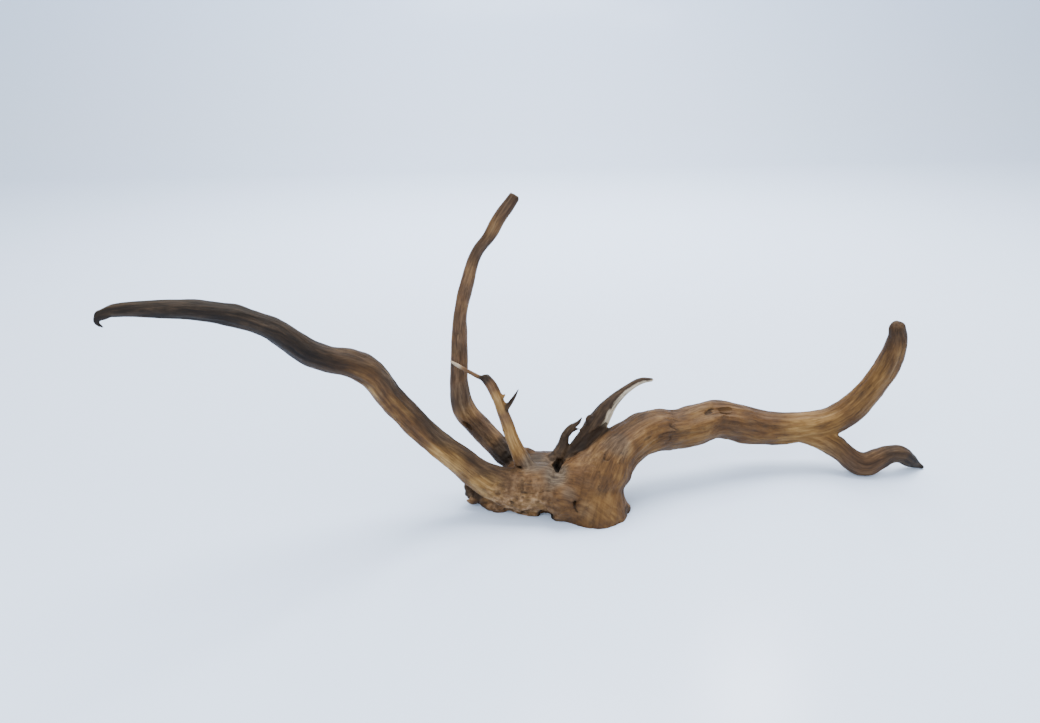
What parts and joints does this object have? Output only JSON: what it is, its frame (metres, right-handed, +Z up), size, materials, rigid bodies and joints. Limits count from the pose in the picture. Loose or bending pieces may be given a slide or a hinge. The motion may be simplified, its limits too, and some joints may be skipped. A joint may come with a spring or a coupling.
{
  "type": "driftwood root",
  "caption": "Dry forked root with a low stump, long curving limbs to each side, an upright limb, short side twigs and a flat worn underside.",
  "frame": {"origin": "middle of the bounding box, on the ground under the stump's flat underside", "axes": "+X along the long span towards the forked limb, +Z up, +Y to the back, away from the worn front edge of the stump"},
  "size_m": [0.6118, 0.172, 0.2465],
  "materials": {
    "dry_wood": "dry, weathered, matte bare wood with grain, cracks and darker tips"
  },
  "bodies": {
    "root": {"driftwood_root": "dry_wood"}
  },
  "joints": []
}
